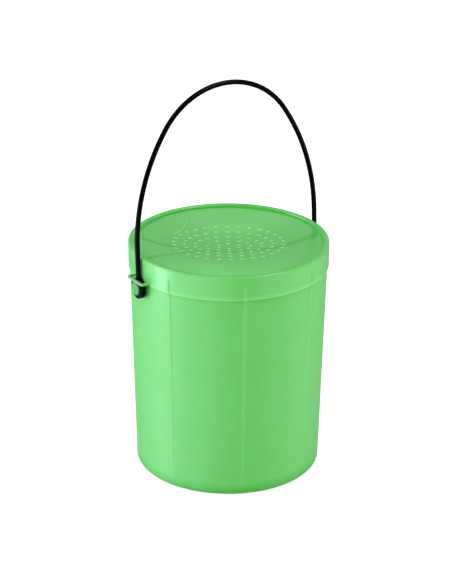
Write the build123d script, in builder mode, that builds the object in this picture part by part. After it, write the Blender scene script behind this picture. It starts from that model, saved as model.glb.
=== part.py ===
from build123d import *
from math import acos, atan2, cos, degrees, hypot, pi, radians, sin
import os

# Aerated bait bucket: a tapered pail with bail pegs, a push-on lid with air holes and
# keeper loops, and a one-piece bail handle. Millimetres, +Z up, origin on the ground in
# the middle of the foot, pegs along X.

# ---- driving dimensions: pail ----
BODY_TOP_R = 74.0        # outer radius of the wall under the neck
BODY_FOOT_R = 69.9       # outer radius of the wall, run down to the ground
LEDGE_Z = 160.6          # ground to the ledge under the neck
LEDGE_WIDTH = 1.1        # step in from the wall to the neck
NECK_HEIGHT = 16.9       # ledge to the pail's rim
WALL = 1.3
BASE_THICK = 1.6
FOOT_EDGE_R = 4.0        # rounding between wall and foot
FOOT_RING = 9.9          # wall to the shallow hollow under the base
FOOT_HOLLOW = 1.0        # depth of that hollow
INNER_CORNER_R = 3.0     # rounding between wall and floor inside
RIM_ROUND = 0.5

# ---- driving dimensions: ribs ----
RIB_COUNT = 8
RIB_ROUND_R = 3.4        # radius of a body rib's rounded back
RIB_PROUD_TOP = 0.48
RIB_PROUD_FOOT = 0.2
RIB_FOOT_Z = 4.5
NECK_RIB_R = 2.0         # radius of a neck rib's rounded back
NECK_RIB_PROUD = 0.4
NECK_RIB_LENGTH = 10.5   # ledge to the middle of the rounded end

# ---- driving dimensions: lid ----
LID_RIM_THICK = 1.7
LID_PANEL = 1.5          # thickness of the lid's panel
SKIRT_LEDGE_GAP = 0.4    # the skirt's lower edge above the pail's ledge
SKIRT_RIB_GAP = 0.3      # clearance of the skirt round the neck ribs
SKIRT_WALL = 1.5
SKIRT_RIB_R = 1.8        # radius of a skirt rib's rounded back
SKIRT_RIB_PROUD = 0.45
SKIRT_RIB_LENGTH = 9.6   # skirt's lower edge to the middle of the rounded end
SHOULDER_R = 1.0         # rounding of the lid's top edge
RECESS_EDGE_R = 1.2      # rounding of the raised rim's inner edge
PLUG_GAP = 0.5           # clearance of the lid's plug ring inside the neck
PLUG_WALL = 1.1
PLUG_DEPTH = 0.8         # foot of the plug ring below the panel's edge
RECESS_DEPTH = 2.1       # raised rim above the panel's edge
RECESS_DRAFT = 0.6       # slope of the raised rim's inner wall
DISH_DEPTH = 4.1         # how far the panel's middle lies below its edge
DISH_MARGIN = 4.0        # nearly level edge of the panel outside its dish
BUCKLE = 3.7             # the thin panel has sprung up by this on one side, down on the other
BUCKLE_ANGLE = -122.0    # the side that has sprung up
PANEL_GRID = 24          # spans of the panel's surface each way
HOLE_D = 2.8
HOLE_RINGS = 5
RING_PITCH = 8.24        # spacing of the rings of holes
HOLES_PER_RING = 6       # holes that each ring has more than the one inside it
OVAL_ANGLE = 115.0       # where the oval outline lies round the lid
OVAL_MARGIN = 1.5        # oval outline to the raised rim
OVAL_LONG = 26.0         # half length of the outline
OVAL_SHORT = 11.5        # half width of the outline
OVAL_TURN = 5.0          # turn of the long axis from the tangent
OVAL_LINE = 0.9
OVAL_PROUD = 0.3

# ---- driving dimensions: pegs and handle ----
PEG_R = 4.0
PEG_RUN_GAP = 0.08       # running clearance of a hub on its peg
BOSS_STEP = 1.2          # boss wider than the peg, all round
CAP_LIP = 1.0            # cap wider than the peg, all round
CAP_THICK = 1.6
CAP_ROUND = 0.9
HUB_WALL = 3.92
HUB_THICK = 3.8
HUB_EDGE = 0.5
HUB_SIDE_GAP = 0.2       # side play of a hub, each side
ROD_D = 3.8
LEG_SKIRT_GAP = 0.4      # handle leg to the lid's skirt
LEG_STRAIGHT = 30.0      # pivot to the start of the arch
SHOULDER_ARC_R = 151.4
CROWN_TUCK = 15.7        # the crown's radius is this much less than the half span
HANDLE_LEAN = 2.85       # resting lean of the handle towards +Y, degrees

# ---- driving dimensions: ears of the lid ----
EAR_THICK = 1.7
EAR_LIFT = 1.0           # underside of the ears above the skirt's lower edge
EAR_BAR = 1.8            # width of the loop's bars
EAR_HUB_GAP = 0.92       # end of the loop's slot past the hub, each side
EAR_ROD_GAP = 0.5        # handle leg to the loop's outer bar
EAR_CAP_GAP = 0.5        # top of a peg's cap to the underside of an ear
EAR_CORNER_R = 2.5
EAR_SLOT_R = 1.0

# ---- sizes that follow from them ----
TAPER = (BODY_TOP_R - BODY_FOOT_R) / LEDGE_Z
RIM_Z = LEDGE_Z + NECK_HEIGHT
NECK_R = BODY_TOP_R - LEDGE_WIDTH
NECK_BORE_R = NECK_R - WALL
FOOT_BORE_R = BODY_FOOT_R - WALL
FLOOR_Z = FOOT_HOLLOW + BASE_THICK
BORE_STEP_Z = LEDGE_Z - 2 * WALL
LID_TOP = RIM_Z + LID_RIM_THICK
SKIRT_FOOT_Z = LEDGE_Z + SKIRT_LEDGE_GAP
SKIRT_BORE_R = NECK_R + NECK_RIB_PROUD + SKIRT_RIB_GAP
SKIRT_R = SKIRT_BORE_R + SKIRT_WALL
PLUG_R = NECK_BORE_R - PLUG_GAP
RECESS_FOOT_R = PLUG_R - PLUG_WALL
PANEL_Z = LID_TOP - RECESS_DEPTH
HALF_SPAN = SKIRT_R + LEG_SKIRT_GAP + ROD_D / 2
HUB_R = PEG_R + PEG_RUN_GAP + HUB_WALL
CAP_R = PEG_R + CAP_LIP
EAR_Z = SKIRT_FOOT_Z + EAR_LIFT
PIVOT_Z = EAR_Z - EAR_CAP_GAP - CAP_R
HUB_INNER_X = HALF_SPAN - HUB_THICK / 2
HUB_OUTER_X = HALF_SPAN + HUB_THICK / 2
BOSS_X = HUB_INNER_X - HUB_SIDE_GAP
CAP_X = HUB_OUTER_X + HUB_SIDE_GAP
EAR_SLOT_X = HALF_SPAN + ROD_D / 2 + EAR_ROD_GAP
EAR_SLOT_HALF = HUB_R + EAR_HUB_GAP
EAR_X = EAR_SLOT_X + EAR_BAR

os.makedirs("parts", exist_ok=True)


# ---- pail: one moulding with its ribs, neck and pegs ----
rib_top_r = BODY_TOP_R + RIB_PROUD_TOP - RIB_ROUND_R
rib_foot_r = BODY_FOOT_R + RIB_PROUD_FOOT - RIB_ROUND_R
rib_lean = degrees(atan2(rib_top_r - rib_foot_r, LEDGE_Z))
rib_length = LEDGE_Z - RIB_FOOT_Z + 2 * RIB_ROUND_R
rib_mid_z = RIB_FOOT_Z + rib_length / 2
rib_mid_r = rib_foot_r + (rib_top_r - rib_foot_r) * rib_mid_z / LEDGE_Z
rib_start = 180 / RIB_COUNT

with BuildPart() as bucket:
    # solid body up to the ledge
    with BuildSketch(Plane.XZ) as body_profile:
        with BuildLine():
            Polyline(
                (0, 0), (BODY_FOOT_R, 0), (BODY_TOP_R, LEDGE_Z), (0, LEDGE_Z), close=True
            )
        make_face()
        foot_corner = body_profile.vertices().sort_by_distance((BODY_FOOT_R, 0))[0]
        fillet(foot_corner, FOOT_EDGE_R)
    revolve(axis=Axis.Z)

    # ribs down the wall, with their axes leaning out with it
    with PolarLocations(0, RIB_COUNT, start_angle=rib_start):
        with Locations(Location((rib_mid_r, 0, rib_mid_z), (0, rib_lean, 0))):
            Cylinder(RIB_ROUND_R, rib_length)

    # bosses that space the handle's hubs off the wall
    with BuildSketch(Plane.YZ):
        with Locations((0, PIVOT_Z)):
            Circle(PEG_R + BOSS_STEP)
    extrude(amount=BOSS_X, both=True)

    # ribs and bosses end at the ledge, and the neck stands on it
    with BuildSketch(Plane.XY.offset(LEDGE_Z)):
        Circle(2 * BODY_TOP_R)
    extrude(amount=2 * RIB_ROUND_R + CAP_R + BOSS_STEP, mode=Mode.SUBTRACT)
    with BuildSketch(Plane.XY.offset(BORE_STEP_Z)):
        Circle(NECK_R)
    extrude(amount=RIM_Z - BORE_STEP_Z)
    neck_rib_r = NECK_R + NECK_RIB_PROUD - NECK_RIB_R
    with PolarLocations(neck_rib_r, RIB_COUNT, start_angle=rib_start):
        with Locations((0, 0, LEDGE_Z + NECK_RIB_LENGTH)):
            Cylinder(
                NECK_RIB_R, NECK_RIB_LENGTH, align=(Align.CENTER, Align.CENTER, Align.MAX)
            )
            Sphere(NECK_RIB_R)

    # peg shafts
    with BuildSketch(Plane.YZ):
        with Locations((0, PIVOT_Z)):
            Circle(PEG_R)
    extrude(amount=CAP_X, both=True)

    # inside of the pail
    with BuildSketch(Plane.XZ) as cavity_profile:
        with BuildLine():
            Polyline(
                (0, FLOOR_Z),
                (FOOT_BORE_R + TAPER * FLOOR_Z, FLOOR_Z),
                (FOOT_BORE_R + TAPER * BORE_STEP_Z, BORE_STEP_Z),
                (NECK_BORE_R, BORE_STEP_Z + WALL),
                (NECK_BORE_R, RIM_Z + WALL),
                (0, RIM_Z + WALL),
                close=True,
            )
        make_face()
        floor_corner = cavity_profile.vertices().sort_by_distance((FOOT_BORE_R, FLOOR_Z))[0]
        fillet(floor_corner, INNER_CORNER_R)
    revolve(axis=Axis.Z, mode=Mode.SUBTRACT)

    # shallow hollow under the base, which leaves the foot ring
    with BuildSketch():
        Circle(BODY_FOOT_R - FOOT_RING)
    extrude(amount=FOOT_HOLLOW, taper=45, mode=Mode.SUBTRACT)

    # rounded rim
    fillet(bucket.edges().filter_by(GeomType.CIRCLE).group_by(Axis.Z)[-1], RIM_ROUND)

    # domed caps that keep the hubs on their pegs
    with BuildSketch(Plane.YZ.offset(CAP_X), Plane.YZ.offset(-CAP_X - CAP_THICK)):
        with Locations((0, PIVOT_Z)):
            Circle(CAP_R)
    extrude(amount=CAP_THICK)
    cap_faces = bucket.faces().filter_by(Axis.X).sort_by(Axis.X)
    fillet(cap_faces[0].edges() + cap_faces[-1].edges(), CAP_ROUND)
bucket.part.label = "bucket"


# ---- lid: one moulding with its plug ring, ears and air holes ----
plug_foot_z = PANEL_Z - LID_PANEL - PLUG_DEPTH
panel_edge_r = (RECESS_FOOT_R + PLUG_R) / 2
dish_r = RECESS_FOOT_R - DISH_MARGIN
panel_low_z = PANEL_Z - LID_PANEL - DISH_DEPTH - BUCKLE
oval_r = RECESS_FOOT_R - OVAL_MARGIN - OVAL_SHORT


def panel_height(x, y):
    """Height of the panel's upper face: a dish, with one side of it sprung up."""
    r = hypot(x, y)
    dish = DISH_DEPTH * cos(pi / 2 * r / dish_r) ** 2
    rise = BUCKLE * sin(pi * r / RECESS_FOOT_R) * cos(atan2(y, x) - radians(BUCKLE_ANGLE))
    return PANEL_Z - dish + rise


grid = [SKIRT_R * (2 * step / PANEL_GRID - 1) for step in range(PANEL_GRID + 1)]
panel_face = Face.make_surface_from_array_of_points(
    [[Vector(x, y, panel_height(x, y)) for y in grid] for x in grid]
)

with BuildPart() as panel:
    extrude(panel_face, amount=LID_PANEL, dir=(0, 0, -1))
    with BuildSketch(Plane.XY.offset(panel_low_z)):
        Circle(panel_edge_r)
    extrude(amount=2 * (LID_TOP - panel_low_z), mode=Mode.INTERSECT)

with BuildPart() as oval_line:
    # raised line round an oval field, cut out of a slightly higher copy of the panel
    with Locations((0, 0, OVAL_PROUD)):
        add(panel.part)
    with BuildSketch(Plane.XY.offset(panel_low_z)):
        with PolarLocations(oval_r, 1, start_angle=OVAL_ANGLE):
            with Locations(Location((0, 0, 0), (0, 0, OVAL_TURN))):
                Ellipse(OVAL_SHORT, OVAL_LONG)
                Ellipse(OVAL_SHORT - OVAL_LINE, OVAL_LONG - OVAL_LINE, mode=Mode.SUBTRACT)
    extrude(amount=2 * (LID_TOP - panel_low_z), mode=Mode.INTERSECT)

with BuildPart() as skirt_ribs:
    # short ribs outside the skirt, over the ones on the pail's neck
    skirt_rib_r = SKIRT_R + SKIRT_RIB_PROUD - SKIRT_RIB_R
    with PolarLocations(skirt_rib_r, RIB_COUNT, start_angle=rib_start):
        with Locations((0, 0, SKIRT_FOOT_Z + SKIRT_RIB_LENGTH)):
            Cylinder(
                SKIRT_RIB_R, SKIRT_RIB_LENGTH, align=(Align.CENTER, Align.CENTER, Align.MAX)
            )
            Sphere(SKIRT_RIB_R)
    with BuildSketch(Plane.XY.offset(SKIRT_FOOT_Z)):
        Circle(SKIRT_R - SKIRT_WALL / 2)
    extrude(amount=SKIRT_RIB_LENGTH + 2 * SKIRT_RIB_R, mode=Mode.SUBTRACT)

with BuildPart() as lid:
    # panel, and round it the rim with its skirt and plug ring
    add(panel.part)
    with BuildSketch(Plane.XZ) as rim_profile:
        with BuildLine():
            Polyline(
                (RECESS_FOOT_R, PANEL_Z - LID_PANEL / 2),
                (RECESS_FOOT_R + RECESS_DRAFT, LID_TOP),
                (SKIRT_R, LID_TOP),
                (SKIRT_R, SKIRT_FOOT_Z),
                (SKIRT_BORE_R, SKIRT_FOOT_Z),
                (SKIRT_BORE_R, RIM_Z),
                (PLUG_R, RIM_Z),
                (PLUG_R, plug_foot_z),
                (RECESS_FOOT_R, plug_foot_z),
                close=True,
            )
        make_face()
        shoulder = rim_profile.vertices().sort_by_distance((SKIRT_R, LID_TOP))[0]
        fillet(shoulder, SHOULDER_R)
        recess_top = (RECESS_FOOT_R + RECESS_DRAFT, LID_TOP)
        recess_edge = rim_profile.vertices().sort_by_distance(recess_top)[0]
        fillet(recess_edge, RECESS_EDGE_R)
    revolve(axis=Axis.Z)
    add(skirt_ribs.part)
    add(oval_line.part)

    # ears: a flat closed loop on each side, for a leg of the handle to pass through
    with BuildSketch(Plane.XY.offset(EAR_Z)):
        RectangleRounded(2 * EAR_X, 2 * (EAR_SLOT_HALF + EAR_BAR), EAR_CORNER_R)
        Circle(SKIRT_R - SKIRT_WALL / 2, mode=Mode.SUBTRACT)
    extrude(amount=EAR_THICK)
    with BuildSketch(Plane.XY.offset(EAR_Z)):
        RectangleRounded(2 * EAR_SLOT_X, 2 * EAR_SLOT_HALF, EAR_SLOT_R)
        Circle(SKIRT_R, mode=Mode.SUBTRACT)
    extrude(amount=EAR_THICK, mode=Mode.SUBTRACT)

    # air holes
    with BuildSketch(Plane.XY.offset(panel_low_z)):
        for ring in range(1, HOLE_RINGS + 1):
            with PolarLocations(ring * RING_PITCH, ring * HOLES_PER_RING):
                Circle(HOLE_D / 2)
    extrude(amount=2 * (LID_TOP - panel_low_z), mode=Mode.SUBTRACT)
lid.part.label = "lid"


# ---- handle: a round rod bent to an arch, with a hub moulded on each end ----
lean = radians(HANDLE_LEAN)
bail_plane = Plane((0, 0, PIVOT_Z), x_dir=(1, 0, 0), z_dir=(0, -cos(lean), sin(lean)))
crown_arc_r = HALF_SPAN - CROWN_TUCK
shoulder_turn = acos((SHOULDER_ARC_R - HALF_SPAN) / (SHOULDER_ARC_R - crown_arc_r))
crown_y = LEG_STRAIGHT + (SHOULDER_ARC_R - crown_arc_r) * sin(shoulder_turn)
arc_end = degrees(shoulder_turn)
leg_root = (PEG_R + HUB_R) / 2

with BuildPart() as handle:
    with BuildSketch(Plane.YZ.offset(HUB_INNER_X), Plane.YZ.offset(-HUB_OUTER_X)):
        with Locations((0, PIVOT_Z)):
            Circle(HUB_R)
            Circle(PEG_R + PEG_RUN_GAP, mode=Mode.SUBTRACT)
    extrude(amount=HUB_THICK)
    hub_circles = handle.edges().filter_by(GeomType.CIRCLE)
    fillet(hub_circles.group_by(SortBy.RADIUS)[-1], HUB_EDGE)

    with BuildLine(bail_plane) as bail_path:
        Line((HALF_SPAN, leg_root), (HALF_SPAN, LEG_STRAIGHT))
        CenterArc((HALF_SPAN - SHOULDER_ARC_R, LEG_STRAIGHT), SHOULDER_ARC_R, 0, arc_end)
        CenterArc((0, crown_y), crown_arc_r, arc_end, 180 - 2 * arc_end)
        CenterArc(
            (SHOULDER_ARC_R - HALF_SPAN, LEG_STRAIGHT), SHOULDER_ARC_R, 180 - arc_end, arc_end
        )
        Line((-HALF_SPAN, LEG_STRAIGHT), (-HALF_SPAN, leg_root))
    with BuildSketch(Plane(bail_path.line @ 0, z_dir=bail_path.line % 0)):
        Circle(ROD_D / 2)
    sweep()
handle.part.label = "handle"


export_step(bucket.part, "parts/bucket.step")
export_step(lid.part, "parts/lid.step")
export_step(handle.part, "parts/handle.step")
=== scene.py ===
from math import cos, pi, radians, sin

import bpy
from mathutils import Matrix, Vector


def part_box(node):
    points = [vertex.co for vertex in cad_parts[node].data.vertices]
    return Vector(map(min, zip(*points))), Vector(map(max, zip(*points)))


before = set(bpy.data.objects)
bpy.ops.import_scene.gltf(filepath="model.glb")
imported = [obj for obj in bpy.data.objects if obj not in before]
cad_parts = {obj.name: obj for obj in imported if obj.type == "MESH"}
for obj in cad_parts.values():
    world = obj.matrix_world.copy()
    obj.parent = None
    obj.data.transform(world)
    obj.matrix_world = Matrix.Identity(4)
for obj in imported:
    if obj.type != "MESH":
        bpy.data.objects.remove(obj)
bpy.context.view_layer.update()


# ---- camera ----
# A long portrait lens, a good metre and a half away, looks down on the lid. The pail's axis
# stands in the middle of the frame.
CAMERA_FROM = -32.0          # degrees round the pail from the -y side, where the camera stands
CAMERA_AZIMUTH = -31.93      # the camera's own heading
CAMERA_REACH = 1.5
CAMERA_HEIGHT = 0.7823
CAMERA_PITCH = 23.311
CAMERA_ROLL = 0.367
LENS_MM = 172.62

camera_data = bpy.data.cameras.new("camera")
camera = bpy.data.objects.new("camera", camera_data)
bpy.context.collection.objects.link(camera)
camera_data.sensor_fit = "HORIZONTAL"
camera_data.sensor_width = 36.0
camera_data.lens = LENS_MM
stand = Vector((sin(radians(CAMERA_FROM)), -cos(radians(CAMERA_FROM)), 0)) * CAMERA_REACH
stand.z = CAMERA_HEIGHT
camera.matrix_world = (
    Matrix.Translation(stand)
    @ Matrix.Rotation(radians(CAMERA_AZIMUTH), 4, "Z")
    @ Matrix.Rotation(radians(90 - CAMERA_PITCH), 4, "X")
    @ Matrix.Rotation(radians(CAMERA_ROLL), 4, "Z")
)
bpy.context.scene.camera = camera
bpy.context.scene.view_settings.view_transform = "Standard"


# ---- studio ----
# A white paper sweep, lit by a soft lamp on the left, a weaker one on the right and an even
# fill from the room. Gloss sees a pattern of table top, room and lamps, drawn in the world.
def linear(code):
    """An sRGB hex colour as linear red, green, blue and alpha."""
    parts = [int(code[i:i + 2], 16) / 255 for i in (0, 2, 4)]
    return tuple(c / 12.92 if c <= 0.04045 else ((c + 0.055) / 1.055) ** 2.4 for c in parts) + (1,)


def add_node(tree, kind, inputs=(), **settings):
    """Adds a node, sets its properties, and fills its inputs by place or by name with values,
    sockets, or other nodes, whose first live output is then linked."""
    made = tree.nodes.new(kind)
    for key, value in settings.items():
        setattr(made, key, value)
    for key, value in inputs.items() if isinstance(inputs, dict) else enumerate(inputs):
        if isinstance(value, bpy.types.Node):
            value = next(output for output in value.outputs if output.enabled)
        if isinstance(value, bpy.types.NodeSocket):
            tree.links.new(value, made.inputs[key])
        else:
            made.inputs[key].default_value = value
    return made


def new_material(name):
    """An empty node material and its tree."""
    material = bpy.data.materials.new(name)
    material.use_nodes = True
    material.node_tree.nodes.clear()
    return material, material.node_tree


FILL_AT_HORIZON = 0.12
FILL_OVERHEAD = 0.56
CEILING_FILL = 1.06
CEILING_EDGE = 0.8           # the ceiling's fill starts at this height of the ray's heading
# what gloss sees round the pail, as azimuth from the camera in degrees and brightness: the
# table top below the horizon, the room with its sweep above it, and three lamps
TABLE_SHEEN = (
    (-180, 0.35),
    (-158, 0.5),
    (-145, 0.25),
    (-120, 1.0),
    (-100, 1.8),
    (-84, 2.25),
    (-60, 2.45),
    (-34, 2.15),
    (-9, 1.38),
    (12, 0.52),
    (30, 0.7),
    (50, 1.22),
    (80, 1.5),
    (98, 1.4),
    (115, 0.85),
    (145, 0.4),
    (180, 0.2),
)
ROOM_SHEEN = (
    (-180, 1.0),
    (-150, 1.0),
    (-110, 0.3),
    (-40, 0.15),
    (110, 0.15),
    (150, 1.0),
    (180, 1.0),
)
STRIP_LAMP_SHEEN = ((-180, 0), (-92, 0), (-87, 7), (-77, 7), (-71, 1.4), (-54, 0), (180, 0))
LEFT_LAMP_SHEEN = ((-180, 0), (-150, 0), (-128, 9), (-92, 9), (-80, 0), (180, 0))
RIGHT_LAMP_SHEEN = ((-180, 0), (30, 0), (50, 12), (90, 12), (115, 2), (130, 0), (180, 0))
SHEEN_PEAK = 12.0            # a colour ramp holds brightness as a share of this
# heights of the ray's heading at which each lamp starts, is full, starts to fade and ends
STRIP_LAMP_RISE = (-0.44, -0.395, 0, 0.12)
LEFT_LAMP_RISE = (0.45, 0.7, 0.86, 0.94)
RIGHT_LAMP_RISE = (0.58, 0.78, 0.87, 0.93)
TABLE_NEAR = (-0.54, -0.49)  # steeper than this, gloss sees the darker table next to the pail
TABLE_NEAR_SHEEN = 0.4
SWEEP_RISE = (0.3, 0.7)      # the sweep brightens from its foot to its top
SWEEP_CURVE = 1.5
SWEEP_FOOT_SHEEN = 0.32
OVERHEAD = (0.95, 0.75)      # straight above, where there is no lamp
OVERHEAD_SHEEN = 0.1
HORIZON = 0.05               # half the height over which table and sweep blend
COOL_AZIMUTH = -80           # the lamp on the left is a little cooler than the rest
COOL_EDGE = (0.2, 0.8)       # shares of the heading along it at which the tint starts and is full
COOL_SHIFT = (-0.14, 0, 0.15)


def from_camera(azimuth, rise=0.0):
    """The direction at an azimuth from the camera, seen from the pail."""
    heading = radians(CAMERA_FROM + azimuth)
    level = cos(radians(rise))
    return Vector((sin(heading) * level, -cos(heading) * level, sin(radians(rise))))


world = bpy.data.worlds.new("room")
bpy.context.scene.world = world
world.use_nodes = True
room = world.node_tree
room.nodes.clear()
path = add_node(room, "ShaderNodeLightPath")
heading = add_node(room, "ShaderNodeTexCoord").outputs["Generated"]
height = add_node(room, "ShaderNodeSeparateXYZ", (heading,)).outputs["Z"]
across, towards, cool_side = (
    add_node(
        room, "ShaderNodeVectorMath", (heading, from_camera(azimuth)), operation="DOT_PRODUCT"
    )
    for azimuth in (90, 0, COOL_AZIMUTH)
)
turn = add_node(room, "ShaderNodeMath", (across, towards), operation="ARCTAN2")
turned = add_node(room, "ShaderNodeMapRange", (turn, -pi, pi, 0, 1))


def by_azimuth(sheen, fade):
    """Brightness by the ray's azimuth, times a factor by its height."""
    ramp = add_node(room, "ShaderNodeValToRGB", (turned,))
    stops = ramp.color_ramp.elements
    stops.remove(stops[1])
    stops[0].color = (sheen[0][1] / SHEEN_PEAK,) * 3 + (1,)
    for azimuth, brightness in sheen[1:]:
        stops.new((azimuth + 180) / 360).color = (brightness / SHEEN_PEAK,) * 3 + (1,)
    return add_node(room, "ShaderNodeMath", (ramp, fade), operation="MULTIPLY")


def between(foot, lit, full, top):
    """The peak brightness at heights from lit to full, fading out to foot and top."""
    rise = add_node(room, "ShaderNodeMapRange", (height, foot, lit, 0, SHEEN_PEAK))
    fall = add_node(room, "ShaderNodeMapRange", (height, full, top, 1, 0))
    return add_node(room, "ShaderNodeMath", (rise, fall), operation="MULTIPLY")


near_pail = add_node(
    room,
    "ShaderNodeMapRange",
    (height, *TABLE_NEAR, TABLE_NEAR_SHEEN * SHEEN_PEAK, SHEEN_PEAK),
)
overhead = add_node(
    room, "ShaderNodeMapRange", (height, *OVERHEAD, OVERHEAD_SHEEN * SHEEN_PEAK, SHEEN_PEAK)
)
rising = add_node(room, "ShaderNodeMapRange", (height, *SWEEP_RISE, 0, 1))
rising = add_node(room, "ShaderNodeMath", (rising, SWEEP_CURVE), operation="POWER")
rising = add_node(
    room,
    "ShaderNodeMath",
    (rising, 1 - SWEEP_FOOT_SHEEN, SWEEP_FOOT_SHEEN),
    operation="MULTIPLY_ADD",
)
rising = add_node(room, "ShaderNodeMath", (overhead, rising), operation="MULTIPLY")
table = by_azimuth(TABLE_SHEEN, near_pail)
sweep = by_azimuth(ROOM_SHEEN, rising)
risen = add_node(room, "ShaderNodeMapRange", (height, -HORIZON, HORIZON, 0, 1))
gloss = add_node(room, "ShaderNodeMix", {"Factor": risen, "A": table, "B": sweep})
for sheen, rise in (
    (STRIP_LAMP_SHEEN, STRIP_LAMP_RISE),
    (LEFT_LAMP_SHEEN, LEFT_LAMP_RISE),
    (RIGHT_LAMP_SHEEN, RIGHT_LAMP_RISE),
):
    lamp = by_azimuth(sheen, between(*rise))
    gloss = add_node(room, "ShaderNodeMath", (gloss, lamp), operation="ADD")
fill = add_node(room, "ShaderNodeMapRange", (height, 0, 1, FILL_AT_HORIZON, FILL_OVERHEAD))
ceiling = add_node(room, "ShaderNodeMapRange", (height, CEILING_EDGE, 1, 0, CEILING_FILL))
fill = add_node(room, "ShaderNodeMath", (fill, ceiling), operation="ADD")
# gloss that is itself seen by a soft surface gets the fill, which keeps stray sparks out
sharp = add_node(room, "ShaderNodeMath", (path.outputs["Diffuse Depth"], 0.5), operation="LESS_THAN")
mirrored = add_node(
    room, "ShaderNodeMath", (sharp, path.outputs["Is Glossy Ray"]), operation="MULTIPLY"
)
lit = add_node(room, "ShaderNodeMix", {"Factor": mirrored, "A": fill, "B": gloss})
white = add_node(
    room, "ShaderNodeMix", {"Factor": path.outputs["Is Camera Ray"], "A": lit, "B": 1.0}
)
coolness = add_node(room, "ShaderNodeMapRange", (cool_side, *COOL_EDGE, 0, 1))
tint = add_node(
    room, "ShaderNodeVectorMath", (coolness, COOL_SHIFT, (1, 1, 1)), operation="MULTIPLY_ADD"
)
backdrop = add_node(room, "ShaderNodeBackground", {"Color": tint, "Strength": white})
add_node(room, "ShaderNodeOutputWorld", {"Surface": backdrop})

FLOOR_HALF = 4.0
FLOOR_LIFT = 0.72            # what the camera sees is lifted to white, and a shadow still shows
PAPER_WHITE = linear("e7e7e7")
floor_mesh = bpy.data.meshes.new("floor")
corners = [(x * FLOOR_HALF, y * FLOOR_HALF, 0) for x, y in ((-1, -1), (1, -1), (1, 1), (-1, 1))]
floor_mesh.from_pydata(corners, [], [(0, 1, 2, 3)])
floor = bpy.data.objects.new("floor", floor_mesh)
bpy.context.collection.objects.link(floor)
floor.visible_glossy = False
# matt white paper: it keeps a soft shadow and shows the camera white
paper, tree = new_material("matt_white_paper")
seen = add_node(tree, "ShaderNodeLightPath").outputs["Is Camera Ray"]
matt = add_node(tree, "ShaderNodeBsdfDiffuse", {"Color": PAPER_WHITE})
lift = add_node(tree, "ShaderNodeMath", (seen, FLOOR_LIFT), operation="MULTIPLY")
glow = add_node(tree, "ShaderNodeEmission", {"Color": (1, 1, 1, 1), "Strength": lift})
both = add_node(tree, "ShaderNodeAddShader", (matt, glow))
add_node(tree, "ShaderNodeOutputMaterial", {"Surface": both})
floor_mesh.materials.append(paper)

# two softboxes light the pail from the left and right of the camera; gloss sees them in the room
SOFTBOX_WIDTH = 1.0
SOFTBOX_HEIGHT = 0.8
SOFTBOX_REACH = 1.3
SOFTBOX_RISE = 13.0          # degrees above level
SOFTBOX_AIM = Vector((0, 0, 0.12))


def softbox(name, azimuth, power):
    """A soft lamp aimed at the pail from an azimuth that runs from the camera."""
    data = bpy.data.lights.new(name, "AREA")
    data.shape = "RECTANGLE"
    data.size = SOFTBOX_WIDTH
    data.size_y = SOFTBOX_HEIGHT
    data.energy = power
    lamp = bpy.data.objects.new(name, data)
    bpy.context.collection.objects.link(lamp)
    lamp.visible_glossy = False
    away = from_camera(azimuth, SOFTBOX_RISE)
    lamp.location = SOFTBOX_AIM + away * SOFTBOX_REACH
    lamp.rotation_euler = away.to_track_quat("Z", "Y").to_euler()


softbox("left_softbox", azimuth=-68, power=10.2)
softbox("right_softbox", azimuth=62, power=6.7)


# ---- pail ----
# The pail is one moulding of natural polyethylene with a light green dye. Its tool was lightly
# blasted, which gives a satin skin; light soaks in, spreads and glows out a deeper green.
POLYETHYLENE_IOR = 1.51
DYED_GREEN = linear("78de75")
SOAK_RADIUS = (0.35, 1.0, 0.3)
SOAK_DEPTH = 0.0012
GRAIN_SIZE = 0.0011          # coarser than the blasted skin's real 0.1 mm, so that it shows
PAIL_GRAIN = 0.000004
PAIL_GLOSS = 0.58
PAIL_ROUGHNESS = (0.38, 0.46)
MOTTLE_RANGE = (0.3, 0.7)    # between these lies most of a noise
CLOUD_SIZE = 0.022
CLOUD_SHIFT = 0.01
SATIN_SIZE = 0.008


def coordinates(tree):
    """Place on the piece in metres: the point, its x, y and z, and its reach from the axis."""
    point = add_node(tree, "ShaderNodeTexCoord").outputs["Object"]
    x, y, z = add_node(tree, "ShaderNodeSeparateXYZ", (point,)).outputs
    flat = add_node(tree, "ShaderNodeVectorMath", (point, (1, 1, 0)), operation="MULTIPLY")
    radius = add_node(tree, "ShaderNodeVectorMath", (flat,), operation="LENGTH")
    return point, x, y, z, radius


def drifting(tree, mottle, low, high):
    """A value that drifts between two from patch to patch of a mottling."""
    return add_node(tree, "ShaderNodeMapRange", (mottle, *MOTTLE_RANGE, low, high))


def painted(tree, colour, layers):
    """A colour with others laid over it in turn, each by its mask."""
    for mask, paint in layers:
        # in a colour mix the inputs 6 and 7 are the colours below and above
        colour = add_node(tree, "ShaderNodeMix", {0: mask, 6: colour, 7: paint}, data_type="RGBA")
    return colour


def moulded_skin(tree, point, height, relief=0.0):
    """The fine grain that a tool leaves on plastic, of some height over a coarser relief."""
    speckle = add_node(tree, "ShaderNodeTexNoise", {"Vector": point, "Scale": 1 / GRAIN_SIZE})
    skin = add_node(tree, "ShaderNodeMath", (speckle, height, relief), operation="MULTIPLY_ADD")
    return add_node(tree, "ShaderNodeBump", {"Strength": 1.0, "Distance": 1.0, "Height": skin})


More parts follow.
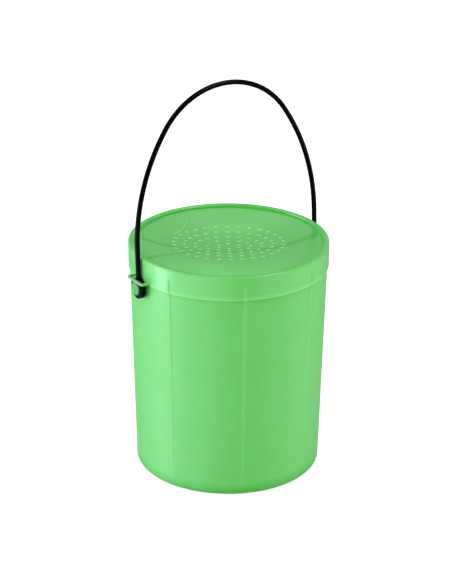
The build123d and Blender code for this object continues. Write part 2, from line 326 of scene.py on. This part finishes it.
def dyed_polyethylene(tree, point, colour, roughness, gloss, skin):
    """Dyed polyethylene: a faintly cloudy colour, which light soaks into and glows out of."""
    clouds = add_node(tree, "ShaderNodeTexNoise", {"Vector": point, "Scale": 1 / CLOUD_SIZE})
    cloud = drifting(tree, clouds, 1 - CLOUD_SHIFT, 1 + CLOUD_SHIFT)
    dye = add_node(tree, "ShaderNodeVectorMath", {0: colour, "Scale": cloud}, operation="SCALE")
    plastic = add_node(
        tree,
        "ShaderNodeBsdfPrincipled",
        {
            "Base Color": dye,
            "Roughness": roughness,
            "IOR": POLYETHYLENE_IOR,
            "Specular IOR Level": gloss,
            "Subsurface Weight": 1.0,
            "Subsurface Radius": SOAK_RADIUS,
            "Subsurface Scale": SOAK_DEPTH,
            "Normal": skin,
        },
    )
    add_node(tree, "ShaderNodeOutputMaterial", {"Surface": plastic})
    return plastic


SOFT_EDGE = 0.0004
RIB_SPACING = pi / 4
RIB_HALF_WIDTH = 0.0016
RIB_EDGE = (RIB_HALF_WIDTH + SOFT_EDGE, RIB_HALF_WIDTH - SOFT_EDGE)
# painted sheen: the ribs are painted paler for the light their rounded tops catch
RIB_SHEEN = linear("7ce17d")
LEDGE_GAP = 0.0004           # the lid's lower edge stands this far above the ledge
LEDGE_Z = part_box("lid")[0][2] - LEDGE_GAP
LEDGE_SHADE_DEPTH = 0.005
SHADE_CURVE = 2.0            # painted shade and painted sheen gather towards an edge
LEDGE_PAINTED_SHADE = linear("5fd854")
FOOT_SHADE_Z = (0.0105, 0.004)       # where the painted shade starts, and where it is full
FOOT_PAINTED_SHADE = linear("5ace4c")
CAP_DEPTH = 0.0026           # in from the cap's outer face
CAP_INNER_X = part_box("bucket")[1][0] - CAP_DEPTH
# painted shade: the caps are greyed where the black hubs behind keep light from shining through
CAP_PAINTED_SHADE = linear("5cb858")


def satin_moulded_polyethylene():
    """Satin, with painted sheen on the ribs, and painted shade at the foot, under the ledge and on
    the caps.
    """
    material, tree = new_material("satin_moulded_polyethylene")
    point, x, y, z, radius = coordinates(tree)

    # distance round the wall to the nearest rib; the first is half a spacing from the x axis
    angle = add_node(tree, "ShaderNodeMath", (y, x), operation="ARCTAN2")
    past = add_node(tree, "ShaderNodeMath", (angle, RIB_SPACING / 2), operation="SUBTRACT")
    apart = add_node(tree, "ShaderNodeMath", (past, RIB_SPACING / 2), operation="PINGPONG")
    apart = add_node(tree, "ShaderNodeMath", (apart, radius), operation="MULTIPLY")
    # painted sheen along each rib
    rib = add_node(tree, "ShaderNodeMapRange", (apart, *RIB_EDGE, 0, 1))

    # painted shade on the wall under the lid's skirt, where the lip keeps light off
    ledge = add_node(
        tree, "ShaderNodeMapRange", (z, LEDGE_Z - LEDGE_SHADE_DEPTH, LEDGE_Z, 0, 1)
    )
    ledge = add_node(tree, "ShaderNodeMath", (ledge, SHADE_CURVE), operation="POWER")
    # painted shade round the rounded foot, which turns from the light
    foot = add_node(tree, "ShaderNodeMapRange", (z, *FOOT_SHADE_Z, 0, 1))
    out = add_node(tree, "ShaderNodeMath", (x,), operation="ABSOLUTE")
    # painted shade on the pegs' caps
    cap = add_node(
        tree, "ShaderNodeMapRange", (out, CAP_INNER_X - SOFT_EDGE, CAP_INNER_X, 0, 1)
    )
    colour = painted(
        tree,
        DYED_GREEN,
        ((rib, RIB_SHEEN), (ledge, LEDGE_PAINTED_SHADE), (foot, FOOT_PAINTED_SHADE), (cap, CAP_PAINTED_SHADE)),
    )

    patches = add_node(tree, "ShaderNodeTexNoise", {"Vector": point, "Scale": 1 / SATIN_SIZE})
    satin = drifting(tree, patches, *PAIL_ROUGHNESS)
    skin = moulded_skin(tree, point, PAIL_GRAIN)
    dyed_polyethylene(tree, point, colour, satin, PAIL_GLOSS, skin)
    return material


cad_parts["bucket"].material_slots[0].material = satin_moulded_polyethylene()


# ---- lid ----
# The lid is pushed on, and its two loops keep it on the handle's legs. It is a second moulding
# of the same dyed polyethylene from a smoother tool; its panel has sprung along a soft fold, painted
# as shade.
LID_GLOSS = 0.55
LID_ROUGHNESS = 0.25         # even, because patches show as blotches on a smooth skin
lid_low, lid_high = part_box("lid")
LID_R = lid_high[1]
SKIRT_DEPTH = (0.0016, 0.0011)       # the skirt's wall, in from its outside
SKIRT_FOOT_Z = lid_low[2]
SKIRT_SHEEN_HEIGHT = 0.0045
SKIRT_FOOT_SHEEN = linear("96ee96")
HOLE_FIELD_R = 0.046
HOLE_STEEP = 0.5             # a hole's wall has an upright share of its normal below this
HOLE_PAINTED_LIGHT = linear("b8ffb8")
HOLE_PAINTED_GLOW = linear("658461")[:3]     # painted glow: the hole walls give off light of their own, standing in for light the thin plastic carries to them
RIM_WIDTH = 0.0056                   # from the outside of the lid to its panel
PANEL_R = LID_R - RIM_WIDTH
PANEL_SOFT_EDGE = 0.0006
OVAL_AZIMUTH = radians(115)
OVAL_FROM_AXIS = 0.057
OVAL_CENTRE = Vector((cos(OVAL_AZIMUTH), sin(OVAL_AZIMUTH), 0)) * OVAL_FROM_AXIS
OVAL_TILT = radians(120)
OVAL_OUTER = (0.0115, 0.026)         # half width and half length of the oval line's edges
OVAL_INNER = (0.0106, 0.0251)
OVAL_PALE = linear("92e890")
FOLD_CENTRE = Vector((0.0324, 0.0608, 0))
FOLD_R = 0.0872
FOLD_SPAN = 0.05                     # the fold widens from this far left to this far right
FOLD_WIDTH = (0.0035, 0.006)
FOLD_PAINTED_SHADE = linear("5ecf56")
CREASE_TILT = 0.229                  # the crease runs from the rim on the left to the fold
CREASE_SHIFT = 0.01307
CREASE_WIDTH = 0.004
CREASE_STRENGTH = 0.8
CREASE_END_X = (-0.04, -0.015)
CREASE_PAINTED_SHADE = linear("64ca5c")
RECESS_INSET = 0.0045                # from the outside of the lid to the rim's inner wall
RECESS_R = LID_R - RECESS_INSET
RECESS_WIDTH = (0.0006, 0.0016)      # the painted shade is full out to the first, and ends at the second
RECESS_DEPTH = (0.004, 0.003)        # below the top of the lid, where the painted shade starts and is full
RECESS_PAINTED_SHADE = linear("5fd659")
EAR_BAR_DEPTH = (0.0041, 0.0021)     # in from the outside of an ear
# painted shade and sheen: the ears' outer bars are greyed where the black hubs behind them keep
# light from shining through, and paled by painted sheen
EAR_HUB_SHADE_AND_SHEEN = linear("8cc48c")
LID_GRAIN = 0.0000015
LINE_STRETCH = (45, 45, 1150)        # copies a metre: 22 mm round the skirt and 0.9 mm up it
LINE_HEIGHT = 0.000005


def oval_reach(tree, point, halves):
    """Less than 1 inside an ellipse that lies on the panel, and more outside it."""
    placed = add_node(
        tree,
        "ShaderNodeVectorRotate",
        {"Vector": point, "Center": OVAL_CENTRE, "Axis": (0, 0, 1), "Angle": -OVAL_TILT},
    )
    offset = add_node(tree, "ShaderNodeVectorMath", (placed, OVAL_CENTRE), operation="SUBTRACT")
    shares = add_node(
        tree,
        "ShaderNodeVectorMath",
        (offset, (1 / halves[0], 1 / halves[1], 0)),
        operation="MULTIPLY",
    )
    return add_node(tree, "ShaderNodeVectorMath", (shares,), operation="LENGTH")


def glossy_moulded_polyethylene():
    """Glossy, with painted sheen on the skirt foot, painted light on the hole walls, and painted
    shade along the fold, crease, recess and ears.
    """
    material, tree = new_material("glossy_moulded_polyethylene")
    point, x, y, z, radius = coordinates(tree)
    inwards = add_node(tree, "ShaderNodeMath", (LID_R, radius), operation="SUBTRACT")
    on_skirt = add_node(tree, "ShaderNodeMapRange", (inwards, *SKIRT_DEPTH, 0, 1))
    on_panel = add_node(
        tree, "ShaderNodeMapRange", (radius, PANEL_R, PANEL_R - PANEL_SOFT_EDGE, 0, 1)
    )

    # painted sheen along the skirt's lower edge, which catches more light
    foot = add_node(
        tree, "ShaderNodeMapRange", (z, SKIRT_FOOT_Z + SKIRT_SHEEN_HEIGHT, SKIRT_FOOT_Z, 0, 1)
    )
    foot = add_node(tree, "ShaderNodeMath", (foot, SHADE_CURVE), operation="POWER")
    foot = add_node(tree, "ShaderNodeMath", (foot, on_skirt), operation="MULTIPLY")

    # painted shade along the fold across the panel, where its slope turns from the light
    reach = add_node(tree, "ShaderNodeVectorMath", (point, FOLD_CENTRE), operation="SUBTRACT")
    reach = add_node(tree, "ShaderNodeVectorMath", (reach, (1, 1, 0)), operation="MULTIPLY")
    reach = add_node(tree, "ShaderNodeVectorMath", (reach,), operation="LENGTH")
    apart = add_node(tree, "ShaderNodeMath", (reach, FOLD_R), operation="SUBTRACT")
    apart = add_node(tree, "ShaderNodeMath", (apart,), operation="ABSOLUTE")
    width = add_node(tree, "ShaderNodeMapRange", (x, -FOLD_SPAN, FOLD_SPAN, *FOLD_WIDTH))
    fold = add_node(tree, "ShaderNodeMapRange", (apart, 0, width, 1, 0))
    fold = add_node(tree, "ShaderNodeMath", (fold, on_panel), operation="MULTIPLY")

    # painted shade along the crease
    slant = add_node(tree, "ShaderNodeMath", (x, CREASE_TILT, y), operation="MULTIPLY_ADD")
    slant = add_node(tree, "ShaderNodeMath", (slant, CREASE_SHIFT), operation="ADD")
    slant = add_node(tree, "ShaderNodeMath", (slant,), operation="ABSOLUTE")
    crease = add_node(tree, "ShaderNodeMapRange", (slant, 0, CREASE_WIDTH, CREASE_STRENGTH, 0))
    fading = add_node(tree, "ShaderNodeMapRange", (x, *CREASE_END_X, 1, 0))
    crease = add_node(tree, "ShaderNodeMath", (crease, fading), operation="MULTIPLY")
    crease = add_node(tree, "ShaderNodeMath", (crease, on_panel), operation="MULTIPLY")

    # painted shade round the rim's inner edge, which sees no gloss
    recess = add_node(tree, "ShaderNodeMath", (radius, RECESS_R), operation="SUBTRACT")
    recess = add_node(tree, "ShaderNodeMath", (recess,), operation="ABSOLUTE")
    recess = add_node(tree, "ShaderNodeMapRange", (recess, *RECESS_WIDTH, 1, 0))
    under = add_node(tree, "ShaderNodeMath", (lid_high[2], z), operation="SUBTRACT")
    on_top = add_node(tree, "ShaderNodeMapRange", (under, *RECESS_DEPTH, 0, 1))
    recess = add_node(tree, "ShaderNodeMath", (recess, on_top), operation="MULTIPLY")

    inner = oval_reach(tree, point, OVAL_INNER)
    inner = add_node(tree, "ShaderNodeMath", (inner, 1.0), operation="GREATER_THAN")
    outer = oval_reach(tree, point, OVAL_OUTER)
    outer = add_node(tree, "ShaderNodeMath", (outer, 1.0), operation="LESS_THAN")
    oval = add_node(tree, "ShaderNodeMath", (inner, outer), operation="MULTIPLY")
    oval = add_node(tree, "ShaderNodeMath", (oval, on_panel), operation="MULTIPLY")

    # painted light: the walls of the air holes are painted pale
    normal = add_node(tree, "ShaderNodeTexCoord").outputs["Normal"]
    upright = add_node(tree, "ShaderNodeSeparateXYZ", (normal,)).outputs["Z"]
    upright = add_node(tree, "ShaderNodeMath", (upright,), operation="ABSOLUTE")
    steep = add_node(tree, "ShaderNodeMath", (upright, HOLE_STEEP), operation="LESS_THAN")
    in_field = add_node(tree, "ShaderNodeMath", (radius, HOLE_FIELD_R), operation="LESS_THAN")
    hole = add_node(tree, "ShaderNodeMath", (steep, in_field), operation="MULTIPLY")

    # painted shade and sheen on the ears' outer bars
    out = add_node(tree, "ShaderNodeMath", (x,), operation="ABSOLUTE")
    inside = add_node(tree, "ShaderNodeMath", (lid_high[0], out), operation="SUBTRACT")
    ear = add_node(tree, "ShaderNodeMapRange", (inside, *EAR_BAR_DEPTH, 0, 1))
    colour = painted(
        tree,
        DYED_GREEN,
        (
            (foot, SKIRT_FOOT_SHEEN),
            (fold, FOLD_PAINTED_SHADE),
            (crease, CREASE_PAINTED_SHADE),
            (recess, RECESS_PAINTED_SHADE),
            (oval, OVAL_PALE),
            (hole, HOLE_PAINTED_LIGHT),
            (ear, EAR_HUB_SHADE_AND_SHEEN),
        ),
    )

    # faint lines round the skirt, from the turning of its tool
    drawn = add_node(tree, "ShaderNodeVectorMath", (point, LINE_STRETCH), operation="MULTIPLY")
    lines = add_node(tree, "ShaderNodeTexNoise", {"Vector": drawn, "Scale": 1.0, "Detail": 1.0})
    relief = add_node(tree, "ShaderNodeMath", (lines, on_skirt), operation="MULTIPLY")
    relief = add_node(tree, "ShaderNodeMath", (relief, LINE_HEIGHT), operation="MULTIPLY")
    skin = moulded_skin(tree, point, LID_GRAIN, relief)
    plastic = dyed_polyethylene(tree, point, colour, LID_ROUGHNESS, LID_GLOSS, skin)
    # the hole walls glow with painted light, though they are no lamp
    glow = add_node(tree, "ShaderNodeVectorMath", {0: HOLE_PAINTED_GLOW, "Scale": hole}, operation="SCALE")
    tree.links.new(glow.outputs[0], plastic.inputs["Emission Color"])
    plastic.inputs["Emission Strength"].default_value = 1.0
    return material


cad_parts["lid"].material_slots[0].material = glossy_moulded_polyethylene()


# ---- handle ----
# The handle is one black polypropylene moulding, whose hubs snap over the pail's pegs. Its tool
# was polished, so the rod is glossy, with thin highlights and a faint mottling up close.
POLYPROPYLENE_IOR = 1.49
HANDLE_GLOSS = 0.04          # well below the usual 0.5, to be as black as the real one looks
HANDLE_ROUGHNESS = (0.08, 0.18)
HANDLE_BLACK = linear("030303")
HANDLE_GREY = linear("060606")
MOTTLE_SIZE = 0.006
HANDLE_GRAIN = 0.0000015


def polished_black_polypropylene():
    """Glossy black, a shade greyer and rougher in small patches."""
    material, tree = new_material("polished_black_polypropylene")
    point = add_node(tree, "ShaderNodeTexCoord").outputs["Object"]
    mottle = add_node(tree, "ShaderNodeTexNoise", {"Vector": point, "Scale": 1 / MOTTLE_SIZE})
    plastic = add_node(
        tree,
        "ShaderNodeBsdfPrincipled",
        {
            "Base Color": painted(tree, HANDLE_BLACK, ((mottle, HANDLE_GREY),)),
            "Roughness": drifting(tree, mottle, *HANDLE_ROUGHNESS),
            "IOR": POLYPROPYLENE_IOR,
            "Specular IOR Level": HANDLE_GLOSS,
            "Normal": moulded_skin(tree, point, HANDLE_GRAIN),
        },
    )
    add_node(tree, "ShaderNodeOutputMaterial", {"Surface": plastic})
    return material


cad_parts["handle"].material_slots[0].material = polished_black_polypropylene()
